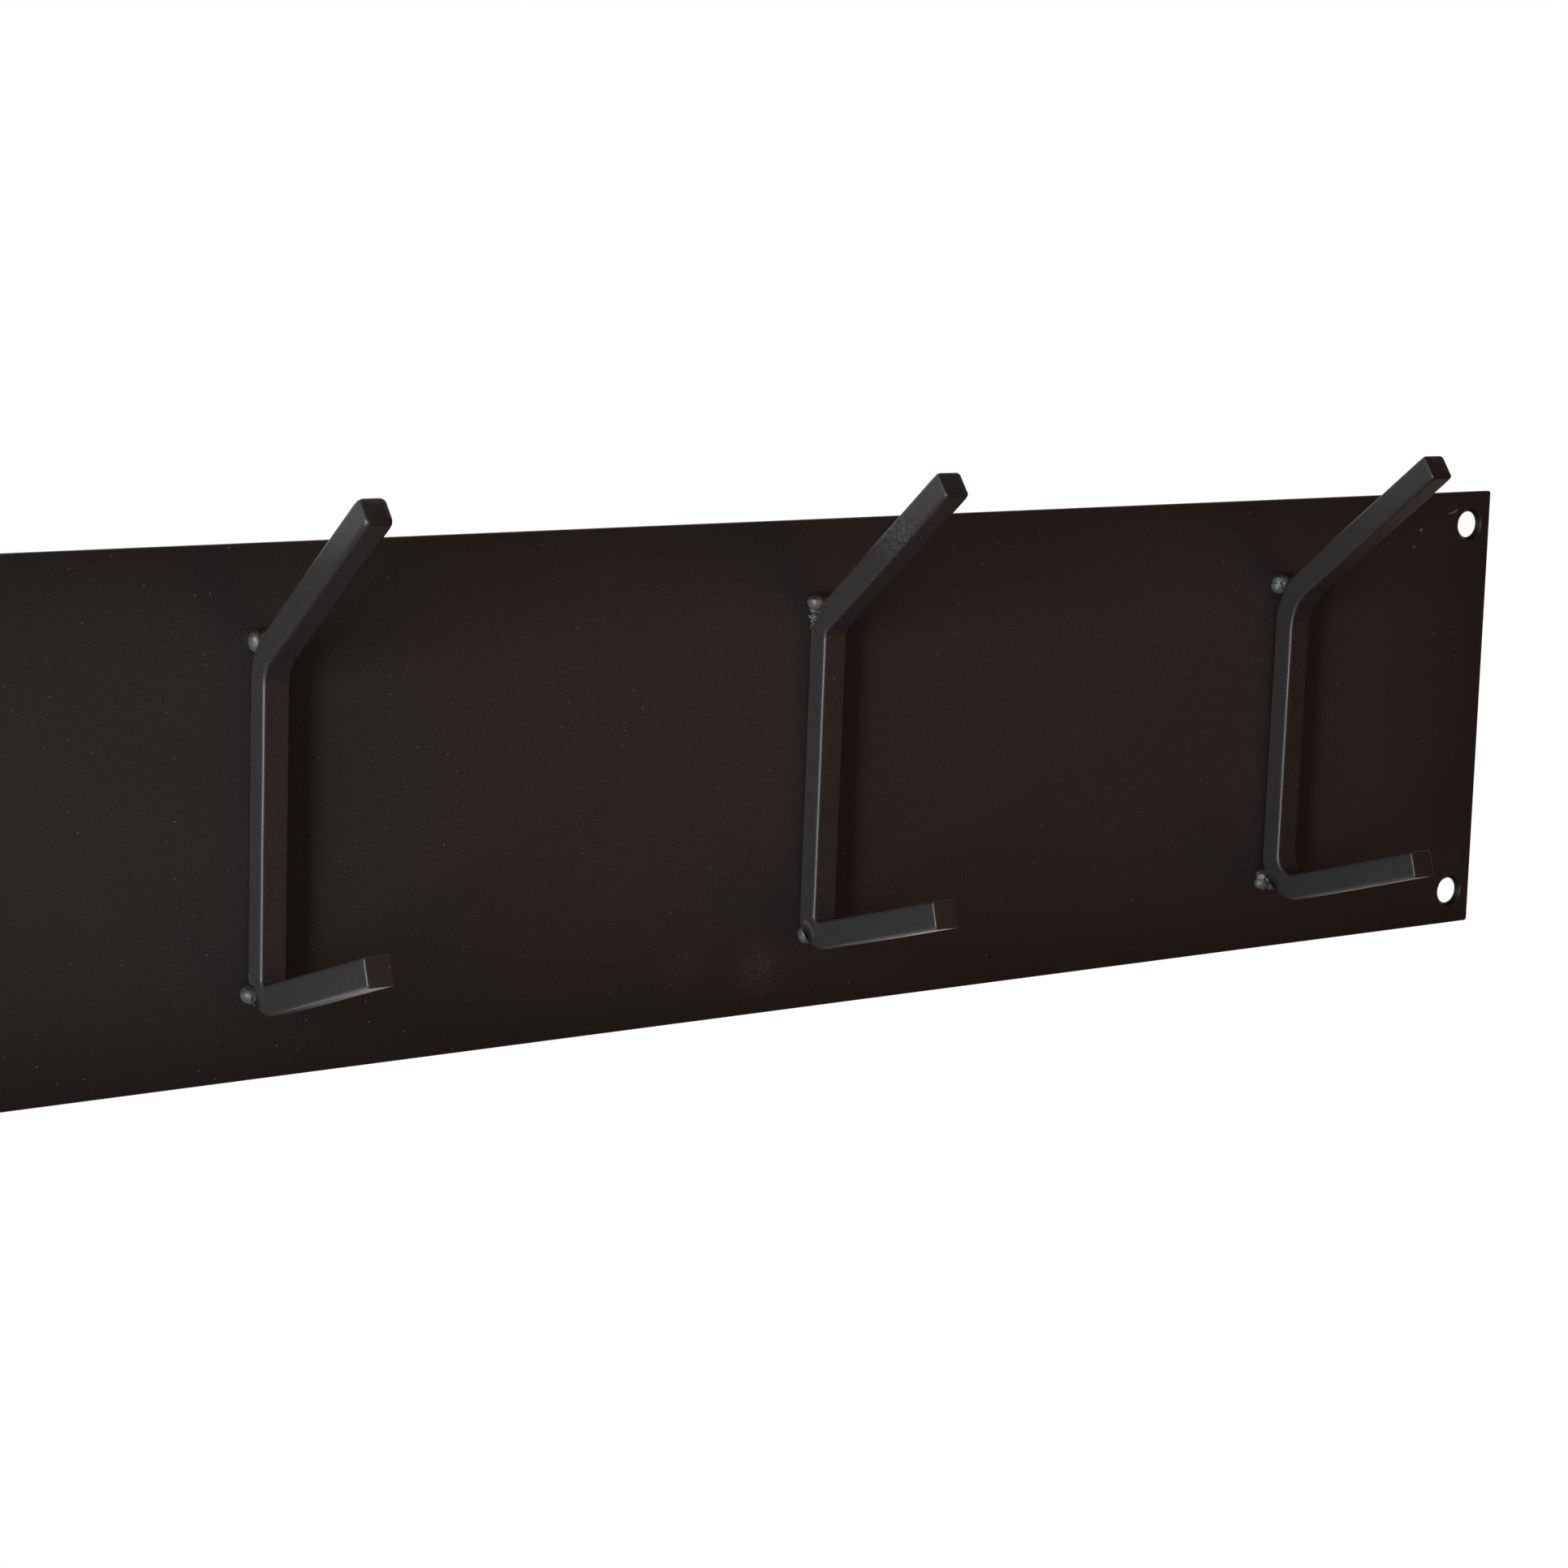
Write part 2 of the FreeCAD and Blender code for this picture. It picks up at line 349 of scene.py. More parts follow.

# Painted shade in the inside corners of two bars, flecks of rust beside the lower weld of the
# fourth, and its worn upper prong: (spot, half sizes, speckle, strength, colour)
rust = (0.16, 0.095, 0.06)
corner_shade = (0.012, 0.005, 0.004)
worn = (0.05, 0.045, 0.042)
shade_rust_and_wear_marks = (
    # painted shade in the inside corners of two bars
    ((0.0005, -0.011, -0.0470), (0.0062, 0.003, 0.0042), coarse, 1.0, corner_shade),
    ((0.2000, -0.011, -0.0475), (0.0060, 0.003, 0.0035), coarse, 0.8, corner_shade),
    ((0.1944, -0.0065, -0.0504), (0.0010, 0.0014, 0.0011), fine, 0.6, rust),
    ((0.1944, -0.0080, -0.0507), (0.0010, 0.0014, 0.0009), fine, 0.6, rust),
    ((0.1944, -0.0092, -0.0516), (0.0010, 0.0011, 0.0010), fine, 0.6, rust),
    ((0.1944, -0.0101, -0.0527), (0.0010, 0.0009, 0.0011), fine, 0.6, rust),
    ((0.1943, -0.0109, -0.0538), (0.0010, 0.0007, 0.0010), fine, 0.6, rust),
    ((0.1962, -0.0480, 0.0805), (0.0020, 0.0150, 0.0140), coarse, 0.3, worn),
)

# Welds, with painted shade on top: how far they face up where they turn brown, how brown they
# get, and that brown
top_shade_facing = (0.1, 0.75)
top_shade_share = 0.85
weld_top_shade_colour = (0.014, 0.007, 0.005)

# Surroundings: strength of the soft light, and depth and half width of the floor
soft_light = 0.25
floor_depth = -1.5
floor_half = 6.0
floor_colour = (0.8, 0.8, 0.8)

# Cards that only reflections see: name, corners, strength and colour. They stand round the right
# and the front of the rack, at these places
card_left, card_turn, card_bend, card_right = -1.6, 1.0, 2.3, 4.2
card_front, card_wall, card_back, card_far = -2.8, 0.0, 0.3, 1.2
card_low, card_high = -1.4, 2.4
back_card_left = 0.5
card_table = (
    ("front_flag_left", [(card_left, card_front, card_low), (card_turn, card_front, card_low),
                         (card_turn, card_front, card_high), (card_left, card_front, card_high)],
     0.09, (1.0, 0.5, 0.35)),
    ("front_flag_middle", [(card_turn, card_front, card_low), (card_bend, card_front, card_low),
                           (card_bend, card_front, card_high), (card_turn, card_front, card_high)],
     0.5, (1.0, 0.62, 0.25)),
    ("front_flag_right", [(card_bend, card_front, card_low), (card_right, card_front, card_low),
                          (card_right, card_front, card_high), (card_bend, card_front, card_high)],
     0.35, (1.0, 0.35, 0.25)),
    ("right_flag", [(card_right, card_front, card_low), (card_right, card_back, card_low),
                    (card_right, card_back, card_high), (card_right, card_front, card_high)],
     0.06, (1.0, 0.8, 0.5)),
    ("ceiling_flag", [(card_left, card_front, card_high), (card_right, card_front, card_high),
                      (card_right, card_back, card_high), (card_left, card_back, card_high)],
     0.12, (1.0, 0.4, 0.3)),
    ("floor_flag", [(card_left, card_front, card_low), (card_right, card_front, card_low),
                    (card_right, card_wall, card_low), (card_left, card_wall, card_low)],
     0.08, (1.0, 0.5, 0.4)),
    ("back_flag", [(back_card_left, card_wall, card_low), (card_right, card_wall, card_low),
                   (card_right, card_far, card_low), (back_card_left, card_far, card_low)],
     0.37, (1.0, 0.73, 0.6)),
)

# Soft boxes: name, place, target, width, height, watts and colour
lamp_table = (
    ("key", (-2.6, -1.65, 0.2), (0.2, 0, 0), 0.65, 2.2, 147, (0.90, 0.94, 0.92)),
    ("side", (-1.3, -0.3, 0.15), (0.2, 0, 0), 0.6, 0.8, 20, (0.55, 0.74, 1.0)),
    ("under", (1.5, 2.0, -1.05), (0.2, 0, 0), 1.2, 0.8, 8, (1.0, 0.95, 0.88)),
)


def link_object(name, data):
    """A new object with this mesh, camera or lamp, linked into the scene."""
    piece = bpy.data.objects.new(name, data)
    bpy.context.collection.objects.link(piece)
    return piece


def shade_smooth(mesh):
    """Marks all faces of a mesh as smooth."""
    mesh.polygons.foreach_set("use_smooth", [True] * len(mesh.polygons))


def make_skin(name, points, faces):
    """A smooth-shaded mesh object from points and faces in the rack's own frame."""
    mesh = bpy.data.meshes.new(name)
    mesh.from_pydata(points, [], faces)
    mesh.validate()
    shade_smooth(mesh)
    return link_object(name, mesh)


def noise_place(offset, seed):
    """The place in the noise for this seed."""
    return Vector([seed * part for part in offset])


def side_vector(y, z):
    """A vector in the side view of the rack."""
    return Vector((0, y, z))


def lower_inside_corner(stray):
    """Where the fronts of the leg and of the lower prong of a hook would meet."""
    height = plate_bottom + lower_corner_height + stray["height"] * mm
    return side_vector(plate_front - bar_width, height)


def bend_stations(corner, first_way, second_way, radius, first_outward, second_outward):
    """Points round an inside corner, each with the way out of the bend and its bulge there."""
    half_angle = first_way.angle(second_way) / 2
    centre = corner + (first_way + second_way).normalized() * (radius / math.sin(half_angle))
    stations = []
    for step in range(bend_steps + 1):
        share = step / bend_steps
        outward = first_outward.slerp(second_outward, share)
        bulge = math.sin(math.pi * share) * bar_width / (radius + bar_width)
        stations.append((centre + outward * radius, outward, bulge))
    return stations


def straight_stations(start, end, outward):
    """Points from start to end, ends left out, at about the usual step."""
    steps = max(2, round((end - start).length / station_step))
    return [(start.lerp(end, step / steps), outward, 0.0) for step in range(1, steps)]


def behind_tips(stations, tips):
    """The stations that lie far enough behind the rounded ends."""
    return [
        station for station in stations
        if all((station[0] - tip[0]).length > room for tip, room in tips)
    ]


def hook_stations(stray):
    """The bar's inside line in side view, and the place and ways of its lower and upper tip."""
    up = side_vector(0, 1)
    rise = math.radians(lower_prong_rise + stray["rise"])
    lean = math.radians(upper_prong_lean + stray["lean"])
    lower_way = side_vector(-math.cos(rise), math.sin(rise))
    upper_way = side_vector(-math.sin(lean), math.cos(lean))
    lower_outward = side_vector(-math.sin(rise), -math.cos(rise))
    upper_outward = side_vector(math.cos(lean), math.sin(lean))
    leg_outward = side_vector(1, 0)
    lower_corner = lower_inside_corner(stray)
    upper_corner = lower_corner + up * (leg_length + stray["leg"] * mm)
    lower_run = lower_prong_length + stray["lower"] * mm - wave_height
    upper_run = upper_prong_length + stray["upper"] * mm - wave_height
    lower_tip = lower_corner + lower_way * lower_run
    upper_tip = upper_corner + upper_way * upper_run
    lower_radius = lower_bend_radius + stray["bends"][0] * mm
    upper_radius = upper_bend_radius + stray["bends"][1] * mm
    lower_bend = bend_stations(
        lower_corner, lower_way, up, lower_radius, lower_outward, leg_outward)
    upper_bend = bend_stations(
        upper_corner, -up, upper_way, upper_radius, leg_outward, upper_outward)
    stations = (
        straight_stations(lower_tip, lower_bend[0][0], lower_outward)
        + lower_bend
        + straight_stations(lower_bend[-1][0], upper_bend[0][0], leg_outward)
        + upper_bend
        + straight_stations(upper_bend[-1][0], upper_tip, upper_outward)
    )
    return (
        stations,
        (lower_tip, lower_way, lower_outward),
        (upper_tip, upper_way, upper_outward),
    )


def bar_section(inset, blunt):
    """The bar's rounded square, as (across, through) pairs from its middle, drawn in by inset."""
    half = bar_width / 2 - inset
    radius = min(max(arris_radius + blunt - inset, least_arris), half * roundest_section)
    side = [(half, (2 * step / flat_steps - 1) * (half - radius)) for step in range(flat_steps)]
    side.append((half, half - radius))
    for step in range(1, arris_steps):
        angle = step / arris_steps * math.pi / 2
        side.append((
            half - radius + radius * math.cos(angle),
            half - radius + radius * math.sin(angle),
        ))
    points = []
    for quarter in range(4):
        cos, sin = math.cos(quarter * math.pi / 2), math.sin(quarter * math.pi / 2)
        points += [(x * cos - y * sin, x * sin + y * cos) for x, y in side]
    return points


def ring_points(inside, outward, bulge, inset, blunt):
    """One ring of the bar: its section across the path, wider inside a bend than outside."""
    ring = []
    for across, through in bar_section(inset, blunt):
        swell = 1 - bulge_at_bend * bulge * 2 * through / bar_width
        from_inside = outward * (bar_width / 2 + through)
        ring.append(Vector((across * swell, 0, 0)) + inside + from_inside)
    return ring


def tip_rings(tip, blunt):
    """Rings that round off a sawn end, from its slightly domed face to the full bar."""
    place, way, outward = tip
    radius = tip_radius + blunt * blunt_to_tip
    dome = blunt * blunt_to_dome
    rings = []
    for share in end_face_rings:
        inset = radius + (1 - share) * (bar_width / 2 - radius) * end_face_middle
        middle = place - way * dome * share * share
        rings.append(ring_points(middle, outward, 0, inset, blunt))
    for step in range(tip_steps + 1):
        angle = step / tip_steps * math.pi / 2
        inset = radius * (1 - math.sin(angle))
        back = dome + radius * (1 - math.cos(angle))
        rings.append(ring_points(place - way * back, outward, 0, inset, blunt))
    return rings


def put_up(stray, index):
    """Turns a piece a little in the plane of the plate and moves it to its place along it."""
    pitch = (plate_high.x - plate_low.x - 2 * hook_from_end) / (hook_count - 1)
    x = plate_low.x + hook_from_end + index * pitch + stray["along"] * mm
    return Matrix.Translation((x, 0, 0)) @ Matrix.Rotation(math.radians(stray["tilt"]), 4, "Y")


def bar_rings(stray, end_blunt):
    """All rings of one bar, from the lower tip to the upper tip."""
    stations, lower_tip, upper_tip = hook_stations(stray)
    rings = tip_rings(lower_tip, 0)
    tips = ((lower_tip, tip_radius), (upper_tip, tip_radius + end_blunt))
    for inside, outward, bulge in behind_tips(stations, tips):
        from_end = min((inside - upper_tip[0]).length / blunt_run, 1)
        blunt = end_blunt * (1 - from_end) ** 2
        rings.append(ring_points(inside, outward, bulge, 0, blunt))
    return rings + tip_rings(upper_tip, end_blunt)[::-1]


def skin_faces(row_count, size):
    """Faces between rings of so many points, with one face on each end."""
    faces = []
    for row in range(row_count - 1):
        for column in range(size):
            beside = (column + 1) % size
            faces.append((
                row * size + column,
                row * size + beside,
                (row + 1) * size + beside,
                (row + 1) * size + column,
            ))
    faces.append(tuple(reversed(range(size))))
    faces.append(tuple(range((row_count - 1) * size, row_count * size)))
    return faces


def unevenness(point, offset, is_pitted):
    """How far a point of a bar is moved by the waves, and by the pits of the pitted patch."""
    wave = noise.noise_vector(point / wave_length + offset) * wave_height
    wave.y *= wave_through
    if is_pitted and point.x < pitted_middle.x + arris_radius:
        fade = max(0, 1 - (point - pitted_middle).length / pitted_reach)
        wave.x += max(0, noise.noise(point / pit_size)) * fade * pit_depth
    return wave


def face_outwards(mesh):
    """Turns all faces of a closed mesh outwards."""
    bm = bmesh.new()
    bm.from_mesh(mesh)
    bmesh.ops.recalc_face_normals(bm, faces=bm.faces)
    bm.to_mesh(mesh)
    bm.free()


def make_hook(name, index, stray):
    """One bent bar as a smooth skin with a slight unevenness along its faces."""
    rings = bar_rings(stray, blunt_ends[index])
    place = put_up(stray, index)
    offset = noise_place(wave_offset, index)
    is_pitted = name == pitted_hook
    points = [
        place @ (point + unevenness(point, offset, is_pitted)) for ring in rings for point in ring
    ]
    hook = make_skin(name, points, skin_faces(len(rings), len(rings[0])))
    face_outwards(hook.data)
    return hook


def add_lump(bm, centre, radii, seed, roughness=lumpiness, detail=lump_detail):
    """Adds one lump of metal: an ellipsoid pushed about by coarse noise."""
    made = bmesh.ops.create_icosphere(bm, subdivisions=detail, radius=1.0)
    offset = noise_place(lump_offset, seed)
    for vertex in made["verts"]:
        way = vertex.co.normalized()
        reach = 1 + noise.noise(way * lump_wave + offset) * roughness
        vertex.co = centre + Vector(way[axis] * radii[axis] * reach for axis in range(3))


def melted(bm, name, voxel, rounds):
    """The lumps in bm fused into one skin and smoothed, as one object."""
    rough = bpy.data.meshes.new(name + "_rough")
    bm.to_mesh(rough)
    bm.free()
    source = link_object(name + "_rough", rough)
    fuse = source.modifiers.new("fuse", "REMESH")
    fuse.mode = "VOXEL"
    fuse.voxel_size = voxel
    fuse.use_smooth_shade = True
    melt = source.modifiers.new("melt", "SMOOTH")
    melt.factor = melt_factor
    melt.iterations = rounds
    bpy.context.view_layer.update()
    evaluated = source.evaluated_get(bpy.context.evaluated_depsgraph_get())
    mesh = bpy.data.meshes.new_from_object(evaluated)
    mesh.name = name
    bpy.data.objects.remove(source)
    bpy.data.meshes.remove(rough)
    return link_object(name, mesh)


def make_bead(name, centre, lumps, pits, grain, seed):
    """One weld bead: lumps melted together, grained by fine noise and pitted."""
    bm = bmesh.new()
    for number, (x, y, z, across, through, tall) in enumerate(lumps):
        place = centre + Vector((x, y, z)) * mm
        radii = (across * mm, through * mm, tall * mm)
        add_lump(bm, place, radii, seed + number * seed_per_lump)
    bead = melted(bm, name, bead_voxel, melt_rounds)
    offset = noise_place(grain_offset, seed)
    normals = [vertex.normal.copy() for vertex in bead.data.vertices]
    for vertex, normal in zip(bead.data.vertices, normals):
        place = vertex.co.copy()
        ripple = noise.fractal(place / grain_size + offset, *grain_octaves) * grain * mm
        for x, y, z, radius in pits:
            apart = (place - centre - Vector((x, y, z)) * mm).length / (radius * mm)
            ripple -= pit_depth_to_radius * radius * mm * math.exp(-apart * apart)
        vertex.co = place + normal * ripple
        vertex.co.y = min(vertex.co.y, plate_front + bead_in_plate)
    return bead


def make_crumbs(name, crumbs):
    """Small solid drops, each (place, radius, flatness) with its flat way along Y."""
    bm = bmesh.new()
    for number, (place, radius, flatness) in enumerate(crumbs):
        radii = (radius, radius * flatness, radius)
        add_lump(bm, place, radii, number * seed_per_crumb, crumb_lumpiness, crumb_detail)
    mesh = bpy.data.meshes.new(name)
    bm.to_mesh(mesh)
    bm.free()
    shade_smooth(mesh)
    return link_object(name, mesh)


def new_material(name):
    """A new node material, its nodes, its links and its shader."""
    material = bpy.data.materials.new(name)
    material.use_nodes = True
    nodes = material.node_tree.nodes
    return material, nodes, material.node_tree.links, nodes["Principled BSDF"]


def noise_node(nodes, links, place, scale, detail=usual_detail):
    """Noise at so many repeats per metre."""
    texture = nodes.new("ShaderNodeTexNoise")
    texture.inputs["Scale"].default_value = scale
    texture.inputs["Detail"].default_value = detail
    links.new(place, texture.inputs["Vector"])
    return texture.outputs["Fac"]


def ranged(nodes, links, value, low, high, to_low=0.0, to_high=1.0):
    """A value moved from one range to another, clamped."""
    node = nodes.new("ShaderNodeMapRange")
    node.inputs["From Min"].default_value = low
    node.inputs["From Max"].default_value = high
    node.inputs["To Min"].default_value = to_low
    node.inputs["To Max"].default_value = to_high
    links.new(value, node.inputs["Value"])
    return node.outputs["Result"]


def fill(links, sockets, values):
    """Sets or links each socket, by a number, a colour or another socket."""
    for socket, value in zip(sockets, values):
        if isinstance(value, (int, float)):
            socket.default_value = value
        elif isinstance(value, tuple):
            socket.default_value = (*value, 1)
        else:
            links.new(value, socket)


def computed(nodes, links, operation, first, second):
    """A math node's result from two values, each a socket or a number."""
    node = nodes.new("ShaderNodeMath")
    node.operation = operation
    fill(links, node.inputs, (first, second))
    return node.outputs["Value"]


def mixed(nodes, links, share, first, second, blend="MIX"):
    """A mix of two colours, each a socket or a plain colour."""
    node = nodes.new("ShaderNodeMix")
    node.data_type = "RGBA"
    node.blend_type = blend
    fill(links, (node.inputs["Factor"], node.inputs["A"], node.inputs["B"]), (share, first, second))
    return node.outputs["Result"]


def vector_math(nodes, links, operation, vector, *numbers):
    """A vector math node's outputs, from a vector and, where it takes one, a plain vector."""
    node = nodes.new("ShaderNodeVectorMath")
    node.operation = operation
    links.new(vector, node.inputs[0])
    for socket, value in zip(node.inputs[1:], numbers):
        socket.default_value = value
    return node.outputs


def near_spot(nodes, links, place, spot, radii, core=spot_core):
    """1 in the core of an ellipsoid round a spot on the rack, falling to 0 at its radii."""
    apart = vector_math(nodes, links, "SUBTRACT", place, spot)["Vector"]
    scaled = vector_math(nodes, links, "DIVIDE", apart, radii)["Vector"]
    length = vector_math(nodes, links, "LENGTH", scaled)["Value"]
    return ranged(nodes, links, length, core, 1.0, 1.0, 0.0)


def dust(nodes, links, place, share):
    """Specks: small round dots in a share of the cells of a grid."""
    cells = nodes.new("ShaderNodeTexVoronoi")
    cells.inputs["Scale"].default_value = dust_scale
    links.new(place, cells.inputs["Vector"])
    split = nodes.new("ShaderNodeSeparateColor")
    links.new(cells.outputs["Color"], split.inputs["Color"])
    chosen = ranged(nodes, links, split.outputs["Red"], 1 - share, 1 - share + dust_step)
    smallest = dust_size * smallest_dust
    wide = ranged(nodes, links, split.outputs["Green"], 0, 1, smallest, dust_size)
    inside = computed(nodes, links, "LESS_THAN", cells.outputs["Distance"], wide)
    bright = ranged(nodes, links, split.outputs["Blue"], 0, 1, faintest_dust, 1)
    visible = computed(nodes, links, "MULTIPLY", chosen, inside)
    return computed(nodes, links, "MULTIPLY", visible, bright)


def bump_node(nodes, links, height, distance):
    """A bump of the coat's strength and this height."""
    bump = nodes.new("ShaderNodeBump")
    bump.inputs["Strength"].default_value = peel_strength
    bump.inputs["Distance"].default_value = distance
    links.new(height, bump.inputs["Height"])
    return bump


def powder_coat(name, dark, light, roughness, gloss, specks, marks):
    """Satin black powder coat: faint clouds, orange peel, fine grit, its marks and pale dust."""
    material, nodes, links, shader = new_material(name)
    place = nodes.new("ShaderNodeTexCoord").outputs["Object"]
    shader.inputs["Specular IOR Level"].default_value = gloss
    clouds = noise_node(nodes, links, place, cloud_scale, cloud_detail)
    grit = noise_node(nodes, links, place, grit_scale)
    colour = mixed(nodes, links, ranged(nodes, links, clouds, *cloud_range), dark, light)
    shade = ranged(nodes, links, grit, *grit_dark_range, 0, grit_shade)
    colour = mixed(nodes, links, shade, colour, (0.0, 0.0, 0.0))
    colour = marks(nodes, links, place, colour, shader)
    colour = mixed(nodes, links, dust(nodes, links, place, specks), colour, dust_colour)
    links.new(colour, shader.inputs["Base Color"])
    less, more = grit_roughness
    rough = ranged(nodes, links, grit, *grit_rough_range, roughness + less, roughness + more)
    links.new(rough, shader.inputs["Roughness"])
    peel = bump_node(nodes, links, noise_node(nodes, links, place, peel_scale), peel_height)
    fine_peel = bump_node(nodes, links, grit, grit_height)
    links.new(peel.outputs["Normal"], fine_peel.inputs["Normal"])
    links.new(fine_peel.outputs["Normal"], shader.inputs["Normal"])
    return material


def split_place(nodes, links, place):
    """The three parts of a place, by axis."""
    split = nodes.new("ShaderNodeSeparateXYZ")
    links.new(place, split.inputs["Vector"])
    return split.outputs


def split_normal(nodes, links):
    """The three parts of the way that the surface faces, in the rack's own frame."""
    return split_place(nodes, links, nodes.new("ShaderNodeTexCoord").outputs["Normal"])


def dull(nodes, links, share, gloss, shader):
    """Lowers the gloss of a coat, fully where share is 1."""
    level = ranged(nodes, links, share, 0, 1, gloss, gloss / dull_by)
    links.new(level, shader.inputs["Specular IOR Level"])


def speckled_marks(nodes, links, place, colour, marks):
    """Speckled marks, each fading out from its middle."""
    for spot, radii, grain, strength, shade in marks:
        speckle = ranged(nodes, links, noise_node(nodes, links, place, 1 / grain), *speckle_range)
        patch = near_spot(nodes, links, place, spot, radii)
        share = computed(nodes, links, "MULTIPLY", patch, speckle)
        share = computed(nodes, links, "MULTIPLY", share, strength)
        colour = mixed(nodes, links, share, colour, shade)
    return colour


def painted_border_shade(nodes, links, along, height):
    """How far painted shade darkens the plate's coat towards its top, bottom and right end."""
    run, most = end_shade_fade
    edge = ranged(nodes, links, along, plate_high.x - run, plate_high.x, 0, most)
    for start, end, power, share in border_shade_fades:
        fade = computed(nodes, links, "POWER", ranged(nodes, links, height, start, end), power)
        fade = computed(nodes, links, "MULTIPLY", fade, share)
        edge = computed(nodes, links, "MAXIMUM", fade, edge)
    return edge


def plate_marks(nodes, links, place, colour, shader):
    """Browner coat to the right, painted shade at the borders and in the holes, smudges, painted
    highlights.
    """
    split = split_place(nodes, links, place)
    along, height = split["X"], split["Z"]
    start, end = browner_run
    to_the_left = ranged(nodes, links, along, end, start)
    to_the_right = ranged(nodes, links, along, start, end)
    colour = mixed(nodes, links, to_the_left, colour, greyer, "MULTIPLY")
    colour = mixed(nodes, links, to_the_right, colour, browner, "MULTIPLY")
    # Painted shade towards the plate's borders
    edge = painted_border_shade(nodes, links, along, height)
    colour = mixed(nodes, links, edge, colour, border_shade_colour)
    # Painted highlights of a dent and two bumps
    for spot, radii in dent_highlight_spots:
        painted_spot = near_spot(nodes, links, place, spot, radii)
        colour = mixed(nodes, links, painted_spot, colour, dent_highlight_colour)
    # Painted shade in the screw holes, with less gloss there
    folded = vector_math(nodes, links, "ABSOLUTE", place)["Vector"]
    hole = (plate_high.x - hole_from_end, 0, plate_high.z - hole_from_edge)
    hole_radii = (hole_rim, bar_width, hole_rim)
    hole_shade = near_spot(nodes, links, folded, hole, hole_radii, hole_shade_core)
    colour = mixed(nodes, links, hole_shade, colour, hole_shade_colour)
    dull(nodes, links, hole_shade, plate_specular, shader)
    return speckled_marks(nodes, links, place, colour, smudges)


def bend_shade_spot(index, stray):
    """The middle of the painted shade at the outside of a hook's lower bend."""
    radius = lower_bend_radius + stray["bends"][0] * mm
    middle = lower_inside_corner(stray) + side_vector(-radius, bend_middle_rise * radius)
    outside = middle + side_vector(*bend_shade_way) * (radius + bar_width)
    return put_up(stray, index) @ (outside - Vector((bar_width / 2, 0, 0)))


def hook_marks(nodes, links, place, colour, shader):
    """Painted shade to the right, on top, on fronts, by the plate, at bends and in corners; rust,
    wear.
    """
    split = split_place(nodes, links, place)
    # Painted shade: darker to the right and at the top, warmer and darker on the fronts
    shade_tints = (
        (split["X"], right_shade_run, right_shade_tint),
        (split["Z"], top_shade_run, top_shade_tint),
        # painted shade: fronts warmer and darker by the way they face
        (split_normal(nodes, links)["Y"], front_shade_facing, front_shade_tint),
    )
    for value, (start, end), tint in shade_tints:
        share = ranged(nodes, links, value, start, end)
        colour = mixed(nodes, links, share, colour, tint, "MULTIPLY")
    # Painted shade beside the plate and at the outside of each lower bend, with less gloss there
    start, end = shaded_strip
    shade_share = ranged(nodes, links, split["Y"], plate_front - start, plate_front - end)
    for index, stray in enumerate(hand_work):
        painted_spot = near_spot(nodes, links, place, bend_shade_spot(index, stray), bend_shade)
        shade_share = computed(nodes, links, "MAXIMUM", shade_share, painted_spot)
    colour = mixed(nodes, links, shade_share, colour, painted_shade_colour)
    dull(nodes, links, shade_share, hook_specular, shader)
    # Painted shade in inside corners, flecks of rust and a worn patch
    return speckled_marks(nodes, links, place, colour, shade_rust_and_wear_marks)


def weld_marks(nodes, links, place, colour, shader):
    """Painted shade on top, in a dark brown, with less gloss there."""
    # Painted shade on the tops of the welds
    start, end = top_shade_facing
    shaded_top = ranged(nodes, links, split_normal(nodes, links)["Z"], start, end, 0, top_shade_share)
    dull(nodes, links, shaded_top, weld_specular, shader)
    return mixed(nodes, links, shaded_top, colour, weld_top_shade_colour)


def dress(piece, material):
    """Gives a piece its material."""
    piece.data.materials.clear()
    piece.data.materials.append(material)


def make_hooks(material):
    """All bent bars, each in place of its solid."""
    for index, stray in enumerate(hand_work):
        node = "hook_" + str(index + 1)
        hook = make_hook(node + "_bar", index, stray)
        dress(hook, material)
        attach(hook, "root")
        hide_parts(node)


def make_welds(material):
    """All weld beads, each in place of its solid."""
    for index in range(hook_count):
        for level in ("upper", "lower"):
            key = "hook_" + str(index + 1) + "_" + level
            low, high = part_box(key + "_weld")
            centre = (low + high) / 2
            centre.y = low.y + (high.z - low.z) / 2
            seed = index * seed_per_hook + seed_of_level[level]
            lumps = bead_shapes.get(key, usual_bead)
            grain = bead_grain.get(key, usual_grain)
            bead = make_bead(key + "_bead", centre, lumps, bead_pits.get(key, []), grain, seed)
            dress(bead, material)
            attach(bead, "root")
            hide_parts(key + "_weld")


def strewn_drops():
    """Drops of spatter on the plate round every bead, kept off the plate's long borders."""
    drops = []
    for index in range(hook_count):
        for level in ("upper", "lower"):
            low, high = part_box("hook_" + str(index + 1) + "_" + level + "_weld")
            middle = (low + high) / 2
            half = (high - low) / 2
            for _ in range(spatter_count):
                angle = random.uniform(0, 2 * math.pi)
                spread = random.expovariate(1) * spatter_spread * mm / half.x / 2
                reach = spatter_from_bead + spread
                x = middle.x + math.cos(angle) * half.x * reach
                z = middle.z + math.sin(angle) * (half.x + half.z) / 2 * reach
                radius = random.uniform(*spatter_radius) * mm
                if abs(z) < plate_high.z - spatter_from_edge:
                    drops.append((Vector((x, plate_front, z)), radius, spatter_flatness))
    return drops


